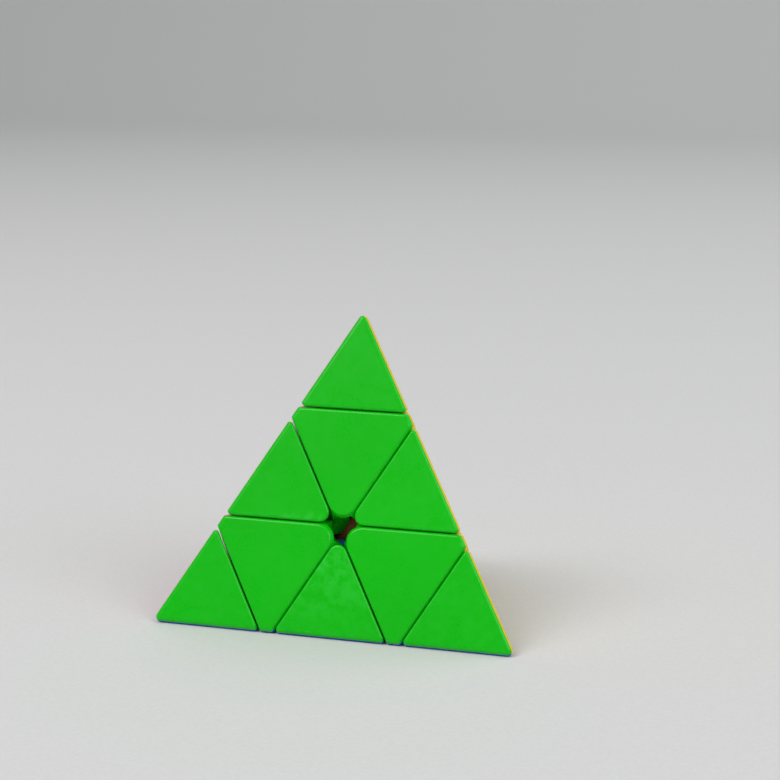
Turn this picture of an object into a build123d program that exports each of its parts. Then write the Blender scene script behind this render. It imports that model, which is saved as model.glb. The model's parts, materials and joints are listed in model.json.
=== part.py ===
from build123d import *
import math
import os

# Pyramid twisty puzzle: a tetrahedron of four tips, four axial pieces and six
# edge pieces that turn about the four corner axes around a ball core.
#
# Frame: the origin is the middle of the core, where the four turning axes meet.
# +Z runs up through the top corner and +X runs along the front edge of the base.
# The blue face is underneath, one inradius below the origin, and the green face
# is at the front (-Y). All sizes are millimetres.
#
# Every surface between two layers is a plane square to a corner axis or a sphere
# about the middle of the puzzle, so that a layer clears its neighbours at every
# angle of its turn.

# ---- driving sizes: the outside ----
edge_length = 102.0  # sharp corner to sharp corner
hole_side = 1.8  # triangle left in the middle of each face between the three deep cuts
ridge_land = 2.1  # length of an axial piece along a ridge
groove = 0.3  # free gap between neighbouring pieces
ridge_radius = 1.4  # rounding of the pyramid's ridges
tile_radius = 0.7  # rounding around each coloured tile
axial_nose_radius = 4.6  # inner end of an axial tile, at the opening
edge_nose_radius = 2.8  # inner corner of an edge tile, at the opening
shell_wall = 1.6  # wall of every moulded shell
nose_overhang = 0.4  # nose of an axial tile beyond the shaft under the opening
nose_thickness = 1.2

# ---- driving sizes: the mechanism ----
foot_rise = 2.2  # foot top above the inner edge of an edge block
foot_thickness = 4.4  # radial thickness of an edge foot
foot_cone = 80.0  # polar angle about a corner that its layer's feet stay within
foot_cone_gap = 0.9  # degrees of clearance on each side of that angle
neck_length = 2.3  # neck between a foot and its coloured shells
tenon_half_length = 4.0
tenon_half_width = 0.85
tenon_height = 3.6
slide_gap = 0.3  # clearance between curved faces that slide past each other
core_gap = 0.4  # radial clearance between the core ball and the feet
post_radius = 2.6  # core posts, which the hubs turn on
running_gap = 0.1  # radial clearance of a shaft in its bore
seat_gap = 0.05  # axial clearance of a turning fit
fit_gap = 0.02  # clearance of a glued or screwed fit
hub_stem_wall = 1.6
hub_wall = 1.4
hub_floor = 3.0  # thickness of the hub floor on its axis
hub_rim = 2.3  # axial rim between the hub and the edge of the tip's base
hub_sink = 0.08  # hub rim below the top of its shells
collar_height = 2.0
plug_wall = 1.1  # lip of a tip plug beyond its neck
plug_overhang = 1.6  # disc of a tip plug beyond its neck
plug_lip_height = 1.2
plug_disc_height = 1.2
screw_radius = 1.25
screw_head_radius = 3.4
screw_head_height = 1.8
screw_grip = 6.5  # length of the screw inside its post
recess_length = 3.6  # cross recess in a screw head
recess_width = 0.8
recess_depth = 1.0
washer_height = 0.5
washer_radius = 4.2
spring_wire = 0.6
spring_radius = 3.0  # centre of the wire
spring_turns = 5
spring_height = 6.0

# ---- sizes that follow ----
height = edge_length * math.sqrt(6) / 3
inradius = height / 4
tip_side = (edge_length - 2 * hole_side) / 3 + hole_side - ridge_land
deep_cut = ((1 + hole_side / edge_length) / 3 - 1 / 4) * height
tip_cut = (3 / 4 - tip_side / edge_length) * height
layer_floor = deep_cut + groove / 2
layer_limit = deep_cut - groove / 2
axial_top = tip_cut - groove / 2
tip_base = tip_cut + groove / 2

corner_cos = 1 / 3  # between a corner axis and the normal of a face at that corner
corner_sin = math.sqrt(8) / 3
ridge_cos = math.sqrt(1 / 3)  # between a corner axis and the middle of a ridge
ridge_sin = math.sqrt(2 / 3)

foot_top = layer_floor / ridge_cos + foot_rise
foot_bottom = foot_top - foot_thickness
neck_top = foot_top + neck_length
shell_bottom = foot_top + slide_gap
core_radius = foot_bottom - core_gap
foot_reach = foot_top * math.cos(math.radians(foot_cone - foot_cone_gap))
foot_limit = foot_bottom * math.cos(math.radians(foot_cone + foot_cone_gap))

tip_base_inradius = (inradius - corner_cos * tip_base) / corner_sin
hub_radius = tip_base_inradius - hub_rim
hub_bore = post_radius + running_gap
hub_stem_radius = hub_bore + hub_stem_wall
hub_cup_radius = hub_radius - fit_gap - hub_wall
hub_floor_top = shell_bottom + hub_floor
hub_top = axial_top - hub_sink
collar_bottom = hub_top - collar_height
post_top = hub_floor_top - running_gap
plug_lip_radius = hub_cup_radius - slide_gap
plug_radius = plug_lip_radius - plug_wall
plug_disc_radius = plug_radius + plug_overhang
spring_bottom = hub_floor_top + seat_gap + washer_height
screw_seat = spring_bottom + spring_height + washer_height

shaft_radius = axial_nose_radius - hole_side / math.sqrt(3) + nose_overhang

stock = 2 * edge_length  # side of a cube that holds the whole puzzle
plane_tolerance = 1e-5  # how near an edge's ends lie to a plane that it is in

# ---- directions ----
origin = Vector(0, 0, 0)
up = Vector(0, 0, 1)
corners = {
    "top": Vector(0, 0, 1),
    "left": Vector(-corner_sin * math.sqrt(3) / 2, -corner_sin / 2, -corner_cos),
    "right": Vector(corner_sin * math.sqrt(3) / 2, -corner_sin / 2, -corner_cos),
    "back": Vector(0, corner_sin, -corner_cos),
}
# The colour of each face, by the corner opposite it.
face_colours = {"back": "green", "right": "red", "left": "yellow", "top": "blue"}
ridges = [
    ("top", "left"),
    ("top", "right"),
    ("top", "back"),
    ("left", "right"),
    ("left", "back"),
    ("right", "back"),
]


def tilted(polar_cos, polar_sin, turn):
    """Unit vector at a polar angle from +Z, turned about Z by a number of degrees."""
    angle = math.radians(turn)
    return Vector(polar_sin * math.cos(angle), polar_sin * math.sin(angle), polar_cos)


# Directions in the two working frames. A corner frame has +Z through a corner and
# +X toward one of its faces. A ridge frame has +Z through the middle of a ridge,
# +Y along it and +X toward one of its faces. "Others" are the corners that the
# piece doesn't belong to.
corner_faces = [tilted(corner_cos, corner_sin, turn) for turn in (0, 120, 240)]
corner_others = [tilted(-corner_cos, corner_sin, turn) for turn in (60, 180, 300)]
ridge_faces = [tilted(ridge_cos, ridge_sin, turn) for turn in (0, 180)]
ridge_ends = [tilted(ridge_cos, ridge_sin, turn) for turn in (90, 270)]
ridge_others = [tilted(-ridge_cos, ridge_sin, turn) for turn in (0, 180)]

# The walls of each kind of piece: a plane's outward direction and its distance.
tip_faces = [(face, inradius) for face in corner_faces]
tip_floor = [(-up, -tip_base)]
axial_lid = [(up, axial_top)]
axial_cuts = [(other, layer_limit) for other in corner_others]
axial_floor = [(-up, -layer_floor)]
edge_faces = [(face, inradius) for face in ridge_faces]
edge_cuts = [(-end, -layer_floor) for end in ridge_ends]
foot_sides = [(-end, -foot_reach) for end in ridge_ends]
foot_ends = [(other, foot_limit) for other in ridge_others]


def seat(upward, toward):
    """Working frame at the origin with +Z along upward and +X leaning toward."""
    return Plane(origin, x_dir=toward - upward * toward.dot(upward), z_dir=upward).location


def along(upward):
    """Working frame at the origin with +Z along upward."""
    return Plane(origin, z_dir=upward).location


def walled_in(walls, inset=0):
    """Solid bounded by planes, all moved inward by an inset."""
    with BuildPart() as solid:
        Box(stock, stock, stock)
        for outward, distance in walls:
            split(
                bisect_by=Plane(outward * (distance - inset), z_dir=outward),
                keep=Keep.BOTTOM,
            )
    return solid.part


def lies_in(edge, wall):
    """Whether an edge lies in a plane."""
    outward, distance = wall
    ends = (edge.position_at(0), edge.position_at(1))
    return all(abs(end.dot(outward) - distance) < plane_tolerance for end in ends)


def edges_where(builder, first, second):
    """Straight edges where a plane of the first list meets another of the second."""
    pairs = [(one, other) for one in first for other in second if one is not other]
    lines = builder.part.edges().filter_by(GeomType.LINE)
    return lines.filter_by(
        lambda edge: any(lies_in(edge, one) and lies_in(edge, other) for one, other in pairs)
    )


bar_align = (Align.CENTER, Align.CENTER, Align.MIN)


def disc(bottom, top, radius, mode=Mode.ADD):
    """Round bar along +Z between two heights."""
    with Locations((0, 0, bottom)):
        Cylinder(radius, top - bottom, align=bar_align, mode=mode)


def face_shaft(radius, top):
    """Cut a round shaft along the normal of the face at +X, from the origin outward."""
    with Locations(along(corner_faces[0])):
        Cylinder(radius, top, align=bar_align, mode=Mode.SUBTRACT)


def keep_third():
    """Keep the third of a corner piece that belongs to the face at +X."""
    for turn in (120, -120):
        side = tilted(0, 1, turn + math.copysign(30, turn))
        split(bisect_by=Plane(origin, z_dir=side), keep=Keep.BOTTOM)


def save(builder, name):
    """Label a finished piece and write its file."""
    builder.part.label = name
    export_step(builder.part, f"parts/{name}.step")


def place(builder, location, name):
    """Write a copy of a piece, moved from its working frame to its place."""
    with BuildPart() as piece:
        with Locations(location):
            add(builder.part)
    save(piece, name)


# ---- tips ----
with BuildPart() as tip_third:
    add(walled_in(tip_faces + tip_floor))
    fillet(edges_where(tip_third, tip_faces, tip_faces), ridge_radius)
    fillet(edges_where(tip_third, tip_faces, tip_floor), tile_radius)
    add(walled_in(tip_faces + tip_floor, shell_wall), mode=Mode.SUBTRACT)
    disc(0, tip_base + 2 * shell_wall, plug_radius + fit_gap, Mode.SUBTRACT)
    keep_third()

with BuildPart() as plug:
    disc(collar_bottom - seat_gap - plug_lip_height, collar_bottom - seat_gap, plug_lip_radius)
    disc(collar_bottom - seat_gap, tip_base + shell_wall, plug_radius)
    disc(tip_base + shell_wall, tip_base + shell_wall + plug_disc_height, plug_disc_radius)

# ---- axial pieces ----
with BuildPart() as axial_cavity:
    add(walled_in(tip_faces + axial_lid + axial_cuts + axial_floor, shell_wall))
    Sphere(shell_bottom + shell_wall, mode=Mode.SUBTRACT)
    disc(0, height, hub_radius + shell_wall, Mode.SUBTRACT)
    face_shaft(shaft_radius + shell_wall, inradius)

with BuildPart() as axial_third:
    add(walled_in(tip_faces + axial_lid + axial_cuts))
    fillet(edges_where(axial_third, axial_cuts, axial_cuts), axial_nose_radius)
    fillet(edges_where(axial_third, tip_faces, tip_faces), ridge_radius)
    fillet(edges_where(axial_third, tip_faces, axial_lid), tile_radius)
    fillet(edges_where(axial_third, tip_faces, axial_cuts), tile_radius)
    split(bisect_by=Plane(up * layer_floor, z_dir=up), keep=Keep.TOP)
    Sphere(shell_bottom, mode=Mode.SUBTRACT)
    disc(0, height, hub_radius, Mode.SUBTRACT)
    add(axial_cavity.part, mode=Mode.SUBTRACT)
    face_shaft(shaft_radius, inradius - nose_thickness)
    keep_third()

with BuildPart() as hub:
    disc(0, hub_top, hub_radius - fit_gap)
    Sphere(shell_bottom, mode=Mode.SUBTRACT)
    disc(foot_bottom, hub_floor_top, hub_stem_radius)
    disc(0, hub_top, hub_bore, Mode.SUBTRACT)
    disc(hub_floor_top, collar_bottom, hub_cup_radius, Mode.SUBTRACT)
    disc(collar_bottom, hub_top, plug_radius + running_gap, Mode.SUBTRACT)

# ---- edge pieces ----
with BuildPart() as edge_block:
    add(walled_in(edge_faces + edge_cuts))
    fillet(edges_where(edge_block, edge_faces, edge_faces), ridge_radius)
    fillet(edges_where(edge_block, edge_cuts, edge_cuts), edge_nose_radius)
    fillet(edges_where(edge_block, edge_faces, edge_cuts), tile_radius)

with BuildPart() as edge_cavity:
    add(walled_in(edge_faces + edge_cuts, shell_wall))
    Sphere(neck_top + shell_wall, mode=Mode.SUBTRACT)

with BuildPart() as edge_half:
    add(edge_block.part)
    Sphere(neck_top, mode=Mode.SUBTRACT)
    add(edge_cavity.part, mode=Mode.SUBTRACT)
    Box(
        2 * (tenon_half_length + fit_gap),
        2 * (tenon_half_width + fit_gap),
        2 * (neck_top + 2 * shell_wall),
        mode=Mode.SUBTRACT,
    )
    split(bisect_by=Plane.YZ, keep=Keep.TOP)

with BuildPart() as neck:
    add(edge_block.part)
    Sphere(neck_top, mode=Mode.INTERSECT)

with BuildPart() as foot:
    add(walled_in(foot_sides + foot_ends))
    Sphere(foot_top, mode=Mode.INTERSECT)
    Sphere(foot_bottom, mode=Mode.SUBTRACT)
    add(neck.part)
    with Locations((0, 0, (foot_top + neck_top + tenon_height) / 2)):
        Box(2 * tenon_half_length, 2 * tenon_half_width, neck_top + tenon_height - foot_top)

# ---- core ----
with BuildPart() as post:
    disc(0, post_top, post_radius)

with BuildPart() as core:
    Sphere(core_radius)
    for upward in corners.values():
        with Locations(along(upward)):
            add(post.part)
    for upward in corners.values():
        with Locations(Plane(upward * post_top, z_dir=upward).location):
            Cylinder(
                screw_radius + fit_gap,
                2 * (screw_grip + running_gap),
                mode=Mode.SUBTRACT,
            )

with BuildPart() as screw:
    disc(post_top - screw_grip, screw_seat, screw_radius)
    disc(screw_seat, screw_seat + screw_head_height, screw_head_radius)
    with Locations((0, 0, screw_seat + screw_head_height)):
        for length, width in ((recess_length, recess_width), (recess_width, recess_length)):
            Box(length, width, 2 * recess_depth, mode=Mode.SUBTRACT)

with BuildPart() as washers:
    for bottom in (hub_floor_top + seat_gap, screw_seat - washer_height):
        disc(bottom, bottom + washer_height, washer_radius)
    disc(0, screw_seat, screw_radius + running_gap, Mode.SUBTRACT)

with BuildPart() as spring:
    coil_height = spring_height - spring_wire - 2 * seat_gap
    coil_start = spring_bottom + seat_gap + spring_wire / 2
    with BuildLine(Plane.XY.offset(coil_start)):
        coil = Helix(coil_height / spring_turns, coil_height, spring_radius)
    with BuildSketch(Plane(coil @ 0, z_dir=coil % 0)):
        Circle(spring_wire / 2)
    sweep(path=coil)

# ---- the assembly ----
os.makedirs("parts", exist_ok=True)
save(core, "core")

for group, name in ((screw, "core_screws"), (washers, "spring_washers"), (spring, "tension_springs")):
    with BuildPart() as fasteners:
        for upward in corners.values():
            with Locations(along(upward)):
                add(group.part)
    save(fasteners, name)

for corner, upward in corners.items():
    others = {other: toward for other, toward in corners.items() if other != corner}
    for opposite, away in others.items():
        colour = face_colours[opposite]
        place(tip_third, seat(upward, -away), f"tip_{corner}_shell_{colour}")
        place(axial_third, seat(upward, -away), f"axial_{corner}_shell_{colour}")
    place(plug, along(upward), f"tip_{corner}_plug")
    place(hub, along(upward), f"axial_{corner}_hub")

for first, second in ridges:
    middle = (corners[first] + corners[second]).normalized()
    for opposite in [corner for corner in corners if corner not in (first, second)]:
        away = corners[opposite]
        name = f"edge_{first}_{second}_shell_{face_colours[opposite]}"
        place(edge_half, seat(middle, -away), name)
    place(foot, seat(middle, -away), f"edge_{first}_{second}_foot")
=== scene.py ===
import json
import math

import bpy
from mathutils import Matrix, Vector


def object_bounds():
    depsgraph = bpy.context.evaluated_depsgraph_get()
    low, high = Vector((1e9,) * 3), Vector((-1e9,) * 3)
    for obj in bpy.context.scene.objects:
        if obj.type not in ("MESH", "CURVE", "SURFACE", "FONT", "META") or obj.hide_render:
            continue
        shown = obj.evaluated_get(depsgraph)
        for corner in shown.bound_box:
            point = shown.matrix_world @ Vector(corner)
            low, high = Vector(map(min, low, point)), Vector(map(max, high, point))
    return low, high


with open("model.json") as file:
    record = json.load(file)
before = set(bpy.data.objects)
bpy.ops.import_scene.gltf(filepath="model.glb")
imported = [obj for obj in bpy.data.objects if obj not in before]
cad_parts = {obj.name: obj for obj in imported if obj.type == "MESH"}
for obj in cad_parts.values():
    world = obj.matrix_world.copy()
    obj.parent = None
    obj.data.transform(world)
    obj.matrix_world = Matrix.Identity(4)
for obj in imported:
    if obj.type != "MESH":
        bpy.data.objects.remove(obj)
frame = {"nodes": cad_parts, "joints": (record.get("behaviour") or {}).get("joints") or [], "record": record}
cad_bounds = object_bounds()

# The puzzle stands on its blue base. Its green face looks to -Y, and the camera
# stands a little to the right of it and a little above.
ground = cad_bounds[0].z
pivot = Vector(frame["joints"][0]["pos_m"])  # middle of the core, where all the axes meet

# ---- driving values ----
MM = 0.001
LENS_MM = 101.5
SENSOR_MM = 36.0
CAMERA_AZIMUTH = 18.81  # degrees, 0 in front of the green face and 90 to its right
CAMERA_ELEVATION = 14.84
CAMERA_DISTANCE = 593.1 * MM  # from the pivot
AIM_OFFSET = Vector((-19.7, 82.7, 23.1)) * MM  # from the pivot: the puzzle sits low and left

WORLD_COLOUR = (0.93, 0.95, 1.0, 1.0)
WORLD_STRENGTH = 0.24

FLOOR_HALF_WIDTH = 3.0  # metres
BACKDROP_START = 1.6  # behind the puzzle, where the floor starts to rise
BACKDROP_RADIUS = 0.8
BACKDROP_HEIGHT = 3.0
BACKDROP_STEPS = 16  # faces in the curve between floor and wall

WEAR_START = 0.505  # pointiness of a surface where rubbing begins to show
WEAR_FULL = 0.56


# ---- node helpers ----
def new_material(name):
    """Empty node material with its shader. Returns the material, its tree and the shader."""
    material = bpy.data.materials.new(name)
    material.use_nodes = True
    tree = material.node_tree
    shader = tree.nodes["Principled BSDF"]
    return material, tree, shader


def node(tree, kind, inputs=None, **settings):
    """A shader node with its settings and inputs, where an input may be another node's output."""
    made = tree.nodes.new(kind)
    for key, value in settings.items():
        setattr(made, key, value)
    for key, value in (inputs or {}).items():
        if isinstance(value, bpy.types.NodeSocket):
            tree.links.new(value, made.inputs[key])
        else:
            made.inputs[key].default_value = value
    return made


def noise(tree, place, scale, detail=3.0, roughness=0.5, distortion=0.0):
    """Noise value over a position, with its scale in cells per metre."""
    inputs = {
        "Vector": place,
        "Scale": scale,
        "Detail": detail,
        "Roughness": roughness,
        "Distortion": distortion,
    }
    return node(tree, "ShaderNodeTexNoise", inputs).outputs["Fac"]


def remap(tree, value, low, high, to_low, to_high):
    """Value moved from one range to another, held at its ends."""
    inputs = {
        "Value": value,
        "From Min": low,
        "From Max": high,
        "To Min": to_low,
        "To Max": to_high,
    }
    return node(tree, "ShaderNodeMapRange", inputs).outputs["Result"]


def blend(tree, share, first, second):
    """Mix of two colours."""
    mixer = node(tree, "ShaderNodeMix", {"Factor": share}, data_type="RGBA")
    for socket, value in (("A", first), ("B", second)):
        target = next(s for s in mixer.inputs if s.name == socket and s.type == "RGBA")
        if isinstance(value, bpy.types.NodeSocket):
            tree.links.new(value, target)
        else:
            target.default_value = value
    return next(s for s in mixer.outputs if s.type == "RGBA")


def maths(tree, operation, first, second):
    """Sum, product or other arithmetic of two values."""
    return node(tree, "ShaderNodeMath", {0: first, 1: second}, operation=operation).outputs[0]


def bump(tree, height, distance, strength, normal=None):
    """Bump from a height, with its depth in metres."""
    inputs = {"Height": height, "Distance": distance, "Strength": strength}
    if normal is not None:
        inputs["Normal"] = normal
    return node(tree, "ShaderNodeBump", inputs).outputs["Normal"]


def edge_wear(tree):
    """Share of rubbing on an outside edge, from 0 on a flat to 1 on a sharp edge."""
    point = node(tree, "ShaderNodeNewGeometry").outputs["Pointiness"]
    return remap(tree, point, WEAR_START, WEAR_FULL, 0.0, 1.0)


# ---- materials ----
def coloured_plastic(name, colour, deep, worn):
    """Injection-moulded coloured plastic, dyed through, with a soft gloss.

    colour is the tile's own, deep is the slightly darker tone of its slow drift and
    worn the paler one of its rubbed edges.
    """
    material, tree, shader = new_material(name)
    place = node(tree, "ShaderNodeTexCoord").outputs["Object"]

    drift = remap(tree, noise(tree, place, 28.0, 2.0), 0.35, 0.65, 0.0, 1.0)
    base = blend(tree, drift, deep, colour)
    specks = remap(tree, noise(tree, place, 2600.0, 2.0), 0.62, 0.75, 0.0, 0.06)
    base = blend(tree, specks, base, worn)
    rubbed = maths(
        tree,
        "MULTIPLY",
        edge_wear(tree),
        remap(tree, noise(tree, place, 420.0, 4.0, 0.6), 0.42, 0.62, 0.0, 0.55),
    )
    base = blend(tree, rubbed, base, worn)
    tree.links.new(base, shader.inputs["Base Color"])

    smear = remap(tree, noise(tree, place, 75.0, 5.0, 0.62, 0.4), 0.35, 0.68, 0.26, 0.34)
    grain = remap(tree, noise(tree, place, 1900.0, 3.0), 0.3, 0.7, -0.03, 0.03)
    roughness = maths(tree, "ADD", smear, grain)
    roughness = maths(tree, "ADD", roughness, maths(tree, "MULTIPLY", rubbed, 0.25))
    tree.links.new(roughness, shader.inputs["Roughness"])

    sink = bump(tree, noise(tree, place, 55.0, 1.5), 0.00006, 0.45)
    peel = bump(tree, noise(tree, place, 900.0, 2.0), 0.000012, 0.6, sink)
    stretched = node(
        tree, "ShaderNodeMapping", {"Vector": place, "Scale": (1.0, 1.0, 14.0), "Rotation": (0.5, 0.3, 0.9)}
    ).outputs["Vector"]
    scratches = remap(tree, noise(tree, stretched, 340.0, 2.0, 0.4), 0.70, 0.78, 0.0, 1.0)
    scuffed = bump(tree, scratches, 0.000006, 0.35, peel)
    tree.links.new(scuffed, shader.inputs["Normal"])

    shader.inputs["IOR"].default_value = 1.52
    shader.inputs["Subsurface Weight"].default_value = 0.10
    shader.inputs["Subsurface Radius"].default_value = (0.6, 0.6, 0.6)
    shader.inputs["Subsurface Scale"].default_value = 0.0012
    shader.inputs["Specular IOR Level"].default_value = 0.34
    return material


def matt_moulding(name, colour, dusty):
    """Unpolished moulding of the inner pieces, with a spark-eroded grain and a little grease."""
    material, tree, shader = new_material(name)
    place = node(tree, "ShaderNodeTexCoord").outputs["Object"]
    dust = remap(tree, noise(tree, place, 160.0, 4.0, 0.6), 0.45, 0.75, 0.0, 0.5)
    tree.links.new(blend(tree, dust, colour, dusty), shader.inputs["Base Color"])
    grease = remap(tree, noise(tree, place, 90.0, 3.0), 0.4, 0.62, 0.32, 0.62)
    tree.links.new(grease, shader.inputs["Roughness"])
    grain = bump(tree, noise(tree, place, 3200.0, 3.0, 0.7), 0.00003, 0.6)
    tree.links.new(grain, shader.inputs["Normal"])
    shader.inputs["IOR"].default_value = 1.5
    return material


def turned_steel(name, colour, oiled):
    """Zinc-plated steel with fine turning marks around the vertical and oil patches."""
    material, tree, shader = new_material(name)
    place = node(tree, "ShaderNodeTexCoord").outputs["Object"]
    oil = remap(tree, noise(tree, place, 300.0, 3.0), 0.45, 0.65, 0.0, 0.6)
    tree.links.new(blend(tree, oil, colour, oiled), shader.inputs["Base Color"])
    marks = node(
        tree, "ShaderNodeTexWave", {"Vector": place, "Scale": 1800.0, "Distortion": 1.2}
    ).outputs["Fac"]
    tree.links.new(remap(tree, marks, 0.0, 1.0, 0.22, 0.40), shader.inputs["Roughness"])
    tree.links.new(bump(tree, marks, 0.000008, 0.4), shader.inputs["Normal"])
    shader.inputs["Metallic"].default_value = 1.0
    return material


def studio_floor(name):
    """Pale matt paper floor."""
    material, tree, shader = new_material(name)
    place = node(tree, "ShaderNodeTexCoord").outputs["Object"]
    fibre = noise(tree, place, 900.0, 4.0, 0.6)
    tone = remap(tree, fibre, 0.3, 0.7, 0.0, 1.0)
    paper = blend(tree, tone, (0.64, 0.64, 0.635, 1.0), (0.68, 0.68, 0.675, 1.0))
    tree.links.new(paper, shader.inputs["Base Color"])
    tree.links.new(bump(tree, fibre, 0.00003, 0.3), shader.inputs["Normal"])
    shader.inputs["Roughness"].default_value = 0.85
    return material


# Tones of each slot: its colour, a darker drift and a rubbed tone, or its colour and a dusty tone.
coloured_tones = {
    "green_plastic": ((0.0, 0.56, 0.0, 1), (0.0, 0.525, 0.0, 1), (0.02, 0.68, 0.04, 1)),
    "red_plastic": ((0.72, 0.003, 0.022, 1), (0.66, 0.003, 0.022, 1), (0.80, 0.14, 0.16, 1)),
    "yellow_plastic": ((0.86, 0.62, 0.003, 1), (0.82, 0.57, 0.003, 1), (0.90, 0.76, 0.20, 1)),
    "blue_plastic": ((0.006, 0.12, 0.50, 1), (0.005, 0.10, 0.44, 1), (0.20, 0.34, 0.68, 1)),
}
matt_tones = {
    "core_plastic": ((0.85, 0.17, 0.10, 1), (0.66, 0.24, 0.17, 1)),
    "hub_plastic": ((0.018, 0.018, 0.021, 1), (0.06, 0.06, 0.06, 1)),
}
materials = {slot: coloured_plastic(slot, *tones) for slot, tones in coloured_tones.items()}
for slot, tones in matt_tones.items():
    materials[slot] = matt_moulding(slot, *tones)
materials["steel"] = turned_steel("steel", (0.56, 0.56, 0.58, 1), (0.34, 0.33, 0.31, 1))

slot_of = {part["node"]: part["material_slot"] for part in frame["record"]["subparts"]}
for name, piece in frame["nodes"].items():
    piece.data.materials.clear()
    piece.data.materials.append(materials[slot_of[name]])


# ---- floor, lights and camera ----
def make_floor():
    """Floor that curves up into a backdrop behind the puzzle, as one smooth sheet."""
    profile = [(-FLOOR_HALF_WIDTH, 0.0), (BACKDROP_START, 0.0)]
    for step in range(1, BACKDROP_STEPS + 1):
        angle = math.pi / 2 * step / BACKDROP_STEPS
        depth = BACKDROP_START + BACKDROP_RADIUS * math.sin(angle)
        profile.append((depth, BACKDROP_RADIUS * (1 - math.cos(angle))))
    profile.append((BACKDROP_START + BACKDROP_RADIUS, BACKDROP_HEIGHT))
    sides = (-FLOOR_HALF_WIDTH, FLOOR_HALF_WIDTH)
    verts = [(x, y, ground + z) for y, z in profile for x in sides]
    faces = [(2 * i, 2 * i + 1, 2 * i + 3, 2 * i + 2) for i in range(len(profile) - 1)]
    mesh = bpy.data.meshes.new("floor")
    mesh.from_pydata(verts, [], faces)
    for face in mesh.polygons:
        face.use_smooth = True
    mesh.materials.append(studio_floor("floor_paper"))
    floor = bpy.data.objects.new("floor", mesh)
    bpy.context.collection.objects.link(floor)


def look_from(obj, place, target):
    """Put a light or camera somewhere and point it at a target, level with the horizon."""
    obj.location = place
    obj.rotation_mode = "QUATERNION"
    obj.rotation_quaternion = (Vector(target) - Vector(place)).to_track_quat("-Z", "Y")


def around(azimuth, elevation, distance, target):
    """Point at a distance from a target. Azimuth 0 is in front, 90 to the right."""
    turn, rise = math.radians(azimuth), math.radians(elevation)
    way = Vector((math.sin(turn) * math.cos(rise), -math.cos(turn) * math.cos(rise), math.sin(rise)))
    return target + way * distance


def make_light(name, azimuth, elevation, distance, width, power, colour):
    """Soft square light aimed at the puzzle."""
    data = bpy.data.lights.new(name, "AREA")
    data.shape = "SQUARE"
    data.size = width
    data.energy = power
    data.color = colour
    light = bpy.data.objects.new(name, data)
    bpy.context.collection.objects.link(light)
    look_from(light, around(azimuth, elevation, distance, pivot), pivot)


def make_world():
    """Even pale light from all round."""
    world = bpy.data.worlds.new("studio")
    world.use_nodes = True
    background = world.node_tree.nodes["Background"]
    background.inputs["Color"].default_value = WORLD_COLOUR
    background.inputs["Strength"].default_value = WORLD_STRENGTH
    bpy.context.scene.world = world


def make_camera():
    """Long lens at the height of the top half of the puzzle, level with the horizon."""
    data = bpy.data.cameras.new("camera")
    data.sensor_width = SENSOR_MM
    data.lens = LENS_MM
    data.clip_start = 0.01
    data.clip_end = 20.0
    camera = bpy.data.objects.new("camera", data)
    bpy.context.collection.objects.link(camera)
    place = around(CAMERA_AZIMUTH, CAMERA_ELEVATION, CAMERA_DISTANCE, pivot)
    look_from(camera, place, pivot + AIM_OFFSET)
    bpy.context.scene.camera = camera


make_floor()
warm_white = (1.0, 0.985, 0.96)
cool_white = (0.95, 0.975, 1.0)
plain_white = (1.0, 1.0, 1.0)
make_light("key", -46, 50, distance=2.40, width=1.35, power=33.0, colour=warm_white)
make_light("fill", 66, 34, distance=2.40, width=1.60, power=23.0, colour=cool_white)
make_light("back", 165, 60, distance=2.00, width=1.30, power=9.0, colour=plain_white)
make_world()
make_camera()
bpy.context.scene.view_settings.view_transform = "Standard"
